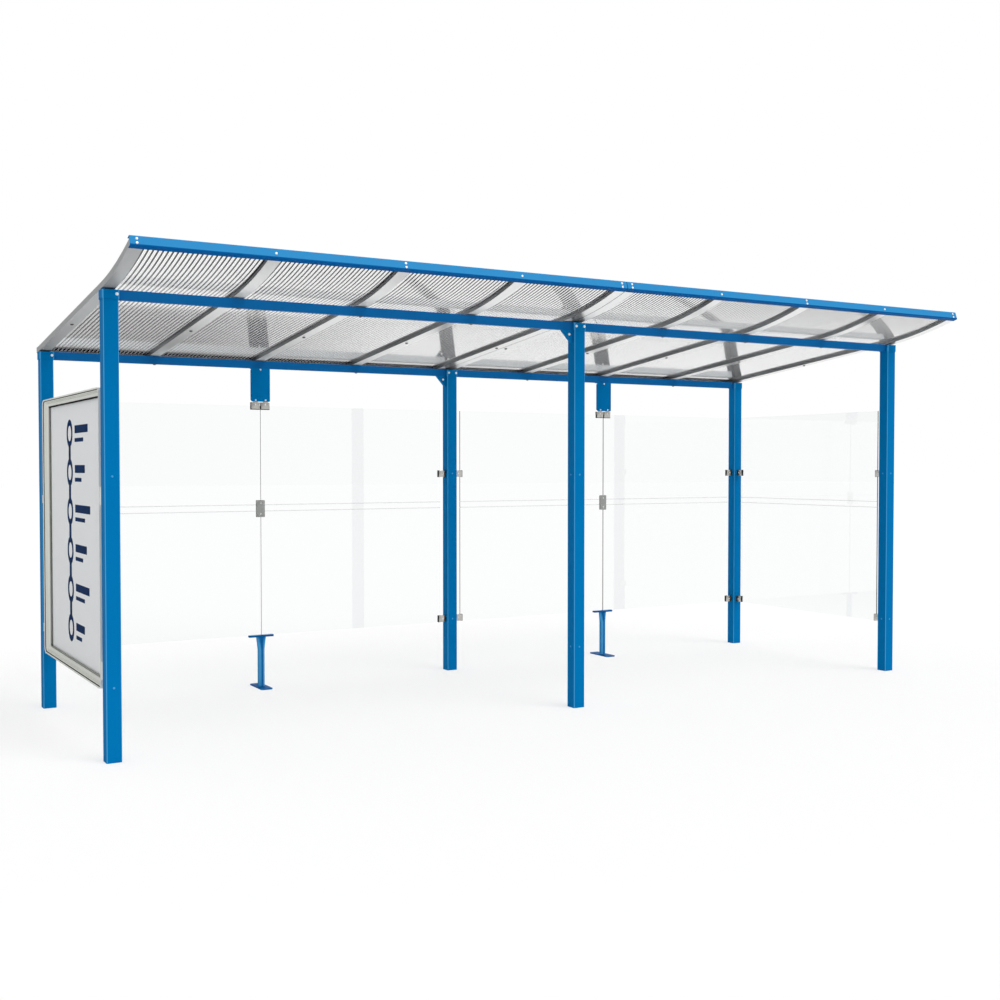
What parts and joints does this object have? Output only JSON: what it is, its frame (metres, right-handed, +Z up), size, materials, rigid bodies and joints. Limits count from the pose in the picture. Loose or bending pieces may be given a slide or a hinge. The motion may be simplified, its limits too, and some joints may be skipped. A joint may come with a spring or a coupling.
{
  "type": "bus shelter",
  "caption": "Open-fronted bus shelter: tubular steel frame, frameless glass rear wall and end pane, a poster case at the other end and a curved translucent sheet roof.",
  "frame": {"origin": "on the ground, in the middle of the whole outline's length and depth", "axes": "+X along the shelter from the poster case to the glazed end, -Y out of the open front, +Z up"},
  "size_m": [5.0864, 2.1148, 2.3004],
  "materials": {
    "frame_paint": "satin",
    "rafter_aluminium": "satin",
    "roof_sheet": "gloss",
    "wall_glass": "gloss",
    "fitting_steel": "satin",
    "case_metal": "satin",
    "case_window": "gloss",
    "case_panel": "matte"
  },
  "bodies": {
    "root": {"post_front_left": "frame_paint", "post_front_middle": "frame_paint", "post_front_right": "frame_paint", "post_rear_left": "frame_paint", "post_rear_middle": "frame_paint", "post_rear_right": "frame_paint", "front_beam_left": "frame_paint", "front_beam_right": "frame_paint", "rear_beam_left": "frame_paint", "rear_beam_right": "frame_paint", "head_brackets": "frame_paint", "fascia_left": "frame_paint", "fascia_right": "frame_paint", "rafter_left_1": "rafter_aluminium", "rafter_left_2": "rafter_aluminium", "rafter_left_3": "rafter_aluminium", "rafter_left_4": "rafter_aluminium", "rafter_left_5": "rafter_aluminium", "rafter_right_1": "rafter_aluminium", "rafter_right_2": "rafter_aluminium", "rafter_right_3": "rafter_aluminium", "rafter_right_4": "rafter_aluminium", "rafter_right_5": "rafter_aluminium", "rear_edge_left": "rafter_aluminium", "rear_edge_right": "rafter_aluminium", "roof_sheet_left_1": "roof_sheet", "roof_sheet_left_2": "roof_sheet", "roof_sheet_left_3": "roof_sheet", "roof_sheet_left_4": "roof_sheet", "roof_sheet_right_1": "roof_sheet", "roof_sheet_right_2": "roof_sheet", "roof_sheet_right_3": "roof_sheet", "roof_sheet_right_4": "roof_sheet", "rear_glass_1": "wall_glass", "rear_glass_2": "wall_glass", "rear_glass_3": "wall_glass", "rear_glass_4": "wall_glass", "end_glass": "wall_glass", "glass_fittings": "fitting_steel", "hanger_left": "frame_paint", "hanger_right": "frame_paint", "foot_left": "frame_paint", "foot_right": "frame_paint", "case_frame": "case_metal", "case_brackets": "case_metal", "case_window": "case_window", "case_back": "case_panel"}
  },
  "joints": []
}
